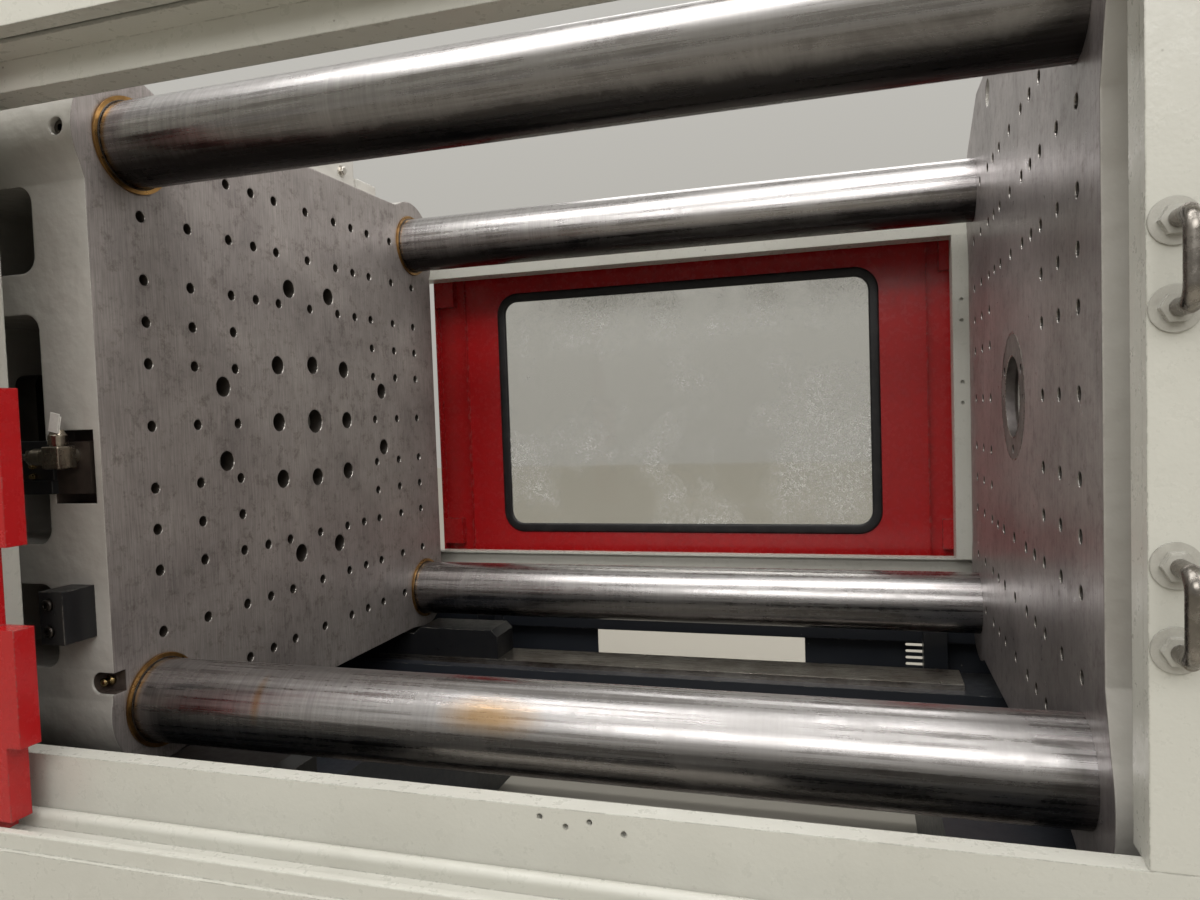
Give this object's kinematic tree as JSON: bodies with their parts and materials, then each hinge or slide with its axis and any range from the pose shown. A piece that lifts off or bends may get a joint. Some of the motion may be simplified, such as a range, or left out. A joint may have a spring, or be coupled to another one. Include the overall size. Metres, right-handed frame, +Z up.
{
  "type": "injection moulding machine",
  "caption": "Horizontal injection moulding machine: hydraulic clamp with tie bars, drilled platens and sliding gates, screw injection unit, hopper, control panel and cabinet.",
  "frame": {"origin": "on the floor, midway along the machine's length and width", "axes": "+X from the clamp end to the injection end, along the machine axis; -Y is the operator side; +Z up. The fixed mould face is at x = -0.25 m and the machine axis at z = 1.56 m."},
  "size_m": [10, 2.346, 2.8653],
  "materials": {
    "machine_paint": "satin enamel, pale warm grey",
    "platen_iron": "machined face, painted casting sides",
    "red_paint": "gloss enamel",
    "navy_paint": "satin enamel",
    "black_paint": "semi gloss",
    "bar_steel": "ground and polished, worn",
    "bronze": "machined bronze",
    "gasket_rubber": "matte",
    "window_pane": "clear sheet, scuffed",
    "nickel_plate": "satin plate",
    "cable_jacket": "matte jacket",
    "machined_steel": "machined",
    "ground_chrome": "ground",
    "motor_paint": "enamel",
    "dark_steel": "dark oxide",
    "red_plastic": "moulded",
    "green_plastic": "moulded",
    "black_plastic": "moulded"
  },
  "bodies": {
    "root": {"clamp_bed": "navy_paint", "injection_bed": "navy_paint", "way_strips": "machined_steel", "levelling_mounts": "dark_steel", "fixed_platen": "platen_iron", "locating_ring": "dark_steel", "clamp_platen": "machine_paint", "tie_bars": "bar_steel", "tie_bar_nuts": "dark_steel", "clamp_cylinder": "machine_paint", "prefill_tank": "machine_paint", "front_sill": "machine_paint", "rear_sill": "machine_paint", "front_header": "machine_paint", "rear_header": "machine_paint", "gate_posts": "machine_paint", "clamp_covers": "machine_paint", "base_panels": "navy_paint", "injection_covers": "machine_paint", "grab_handles": "machine_paint", "carriage_rails": "machined_steel", "pull_in_rods": "ground_chrome", "oil_tank": "navy_paint", "pump_motor": "motor_paint", "electrical_cabinet": "machine_paint"},
    "platen": {"moving_platen": "platen_iron", "bar_bushings": "bronze", "clamp_ram": "ground_chrome", "platen_shoes": "black_paint", "stop_block": "black_paint", "connector_block": "nickel_plate", "sensor_cable": "cable_jacket", "ejector_cylinders": "machine_paint"},
    "ejector": {"ejector_plate": "machined_steel", "ejector_rods": "ground_chrome"},
    "front_gate": {"front_gate_panel": "red_paint", "front_gate_gasket": "gasket_rubber", "front_gate_window": "window_pane", "front_gate_handle": "machine_paint"},
    "rear_gate": {"rear_gate_panel": "red_paint", "rear_gate_gasket": "gasket_rubber", "rear_gate_window": "window_pane", "rear_gate_handle": "machine_paint"},
    "carriage": {"injection_sled": "machine_paint", "injection_barrel": "machined_steel", "heater_bands": "nickel_plate", "feed_housing": "machine_paint", "hopper": "nickel_plate", "carriage_cylinders": "machine_paint", "barrel_guard": "machine_paint"},
    "crosshead": {"injection_crosshead": "machine_paint", "screw_motor": "motor_paint"},
    "screw": {"screw": "ground_chrome"},
    "hopper_lid": {"hopper_lid": "nickel_plate"},
    "purge_guard": {"purge_guard": "red_paint"},
    "cabinet_door": {"cabinet_door": "machine_paint"},
    "control_panel": {"control_panel": "navy_paint"},
    "emergency_stop": {"emergency_stop": "red_plastic"},
    "start_button": {"start_button": "green_plastic"},
    "stop_button": {"stop_button": "black_plastic"}
  },
  "joints": [
    {"name": "platen_stroke", "type": "slide", "parent": "root", "child": "platen", "axis": [1, 0, 0], "range_m": [0, 1.27]},
    {"name": "ejector_stroke", "type": "slide", "parent": "platen", "child": "ejector", "axis": [1, 0, 0], "range_m": [0, 0.25]},
    {"name": "front_gate_slide", "type": "slide", "parent": "root", "child": "front_gate", "axis": [1, 0, 0], "range_m": [0, 2.05]},
    {"name": "rear_gate_slide", "type": "slide", "parent": "root", "child": "rear_gate", "axis": [-1, 0, 0], "range_m": [0, 2.05]},
    {"name": "carriage_slide", "type": "slide", "parent": "root", "child": "carriage", "axis": [1, 0, 0], "range_m": [0, 0.6]},
    {"name": "screw_stroke", "type": "slide", "parent": "carriage", "child": "crosshead", "axis": [1, 0, 0], "range_m": [0, 0.4]},
    {"name": "screw_spin", "type": "hinge", "parent": "crosshead", "child": "screw", "pos_m": [3.75, 0, 1.56], "axis": [1, 0, 0], "continuous": true},
    {"name": "purge_guard_hinge", "type": "hinge", "parent": "root", "child": "purge_guard", "pos_m": [0.445, 0.322, 1.344], "axis": [-1, 0, 0], "range_deg": [0, 95]},
    {"name": "hopper_lid_hinge", "type": "hinge", "parent": "carriage", "child": "hopper_lid", "pos_m": [2.7, 0.385, 2.826], "axis": [-1, 0, 0], "range_deg": [0, 100]},
    {"name": "cabinet_door_hinge", "type": "hinge", "parent": "root", "child": "cabinet_door", "pos_m": [1.244, 1.024, 1.56], "axis": [0, 0, 1], "range_deg": [0, 110]},
    {"name": "panel_swing", "type": "hinge", "parent": "root", "child": "control_panel", "pos_m": [0.53, -1.073, 1.56], "axis": [0, 0, -1], "range_deg": [0, 90]},
    {"name": "emergency_stop_press", "type": "slide", "parent": "control_panel", "child": "emergency_stop", "axis": [0, 1, 0], "range_m": [0, 0.006], "stiffness_N_per_m": 1500},
    {"name": "start_press", "type": "slide", "parent": "control_panel", "child": "start_button", "axis": [0, 1, 0], "range_m": [0, 0.004], "stiffness_N_per_m": 1200},
    {"name": "stop_press", "type": "slide", "parent": "control_panel", "child": "stop_button", "axis": [0, 1, 0], "range_m": [0, 0.004], "stiffness_N_per_m": 1200}
  ]
}
